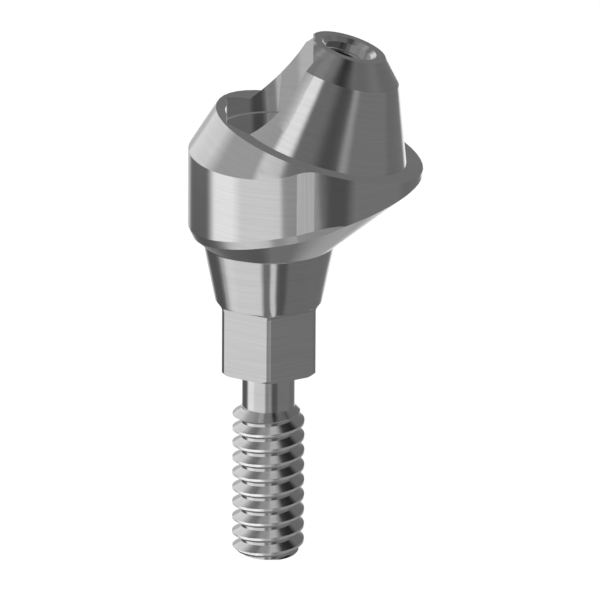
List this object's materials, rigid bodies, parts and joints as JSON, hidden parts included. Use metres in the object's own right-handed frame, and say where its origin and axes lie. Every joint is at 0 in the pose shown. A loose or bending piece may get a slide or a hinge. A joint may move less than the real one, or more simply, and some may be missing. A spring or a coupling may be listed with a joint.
{
  "type": "dental abutment",
  "caption": "Angled titanium dental abutment: conical hexagon stem, round collar, leaning conical head with a flat-sided screw channel, and its abutment screw.",
  "frame": {"origin": "on the implant's axis, where the connection cone meets the flare under the collar", "axes": "+Z along the implant's axis, from the screw's tip up to the head; +X towards the side that the head leans to"},
  "size_m": [0.0052, 0.0048, 0.0121],
  "materials": {
    "body_titanium": "fine turned bare metal",
    "screw_titanium": "fine turned bare metal"
  },
  "bodies": {
    "abutment": {"abutment_body": "body_titanium"},
    "screw": {"abutment_screw": "screw_titanium"}
  },
  "joints": [
    {"name": "screw_turn", "type": "hinge", "parent": "abutment", "child": "screw", "pos_m": [0, 0, 0], "axis": [0, 0, 1], "continuous": true}
  ]
}
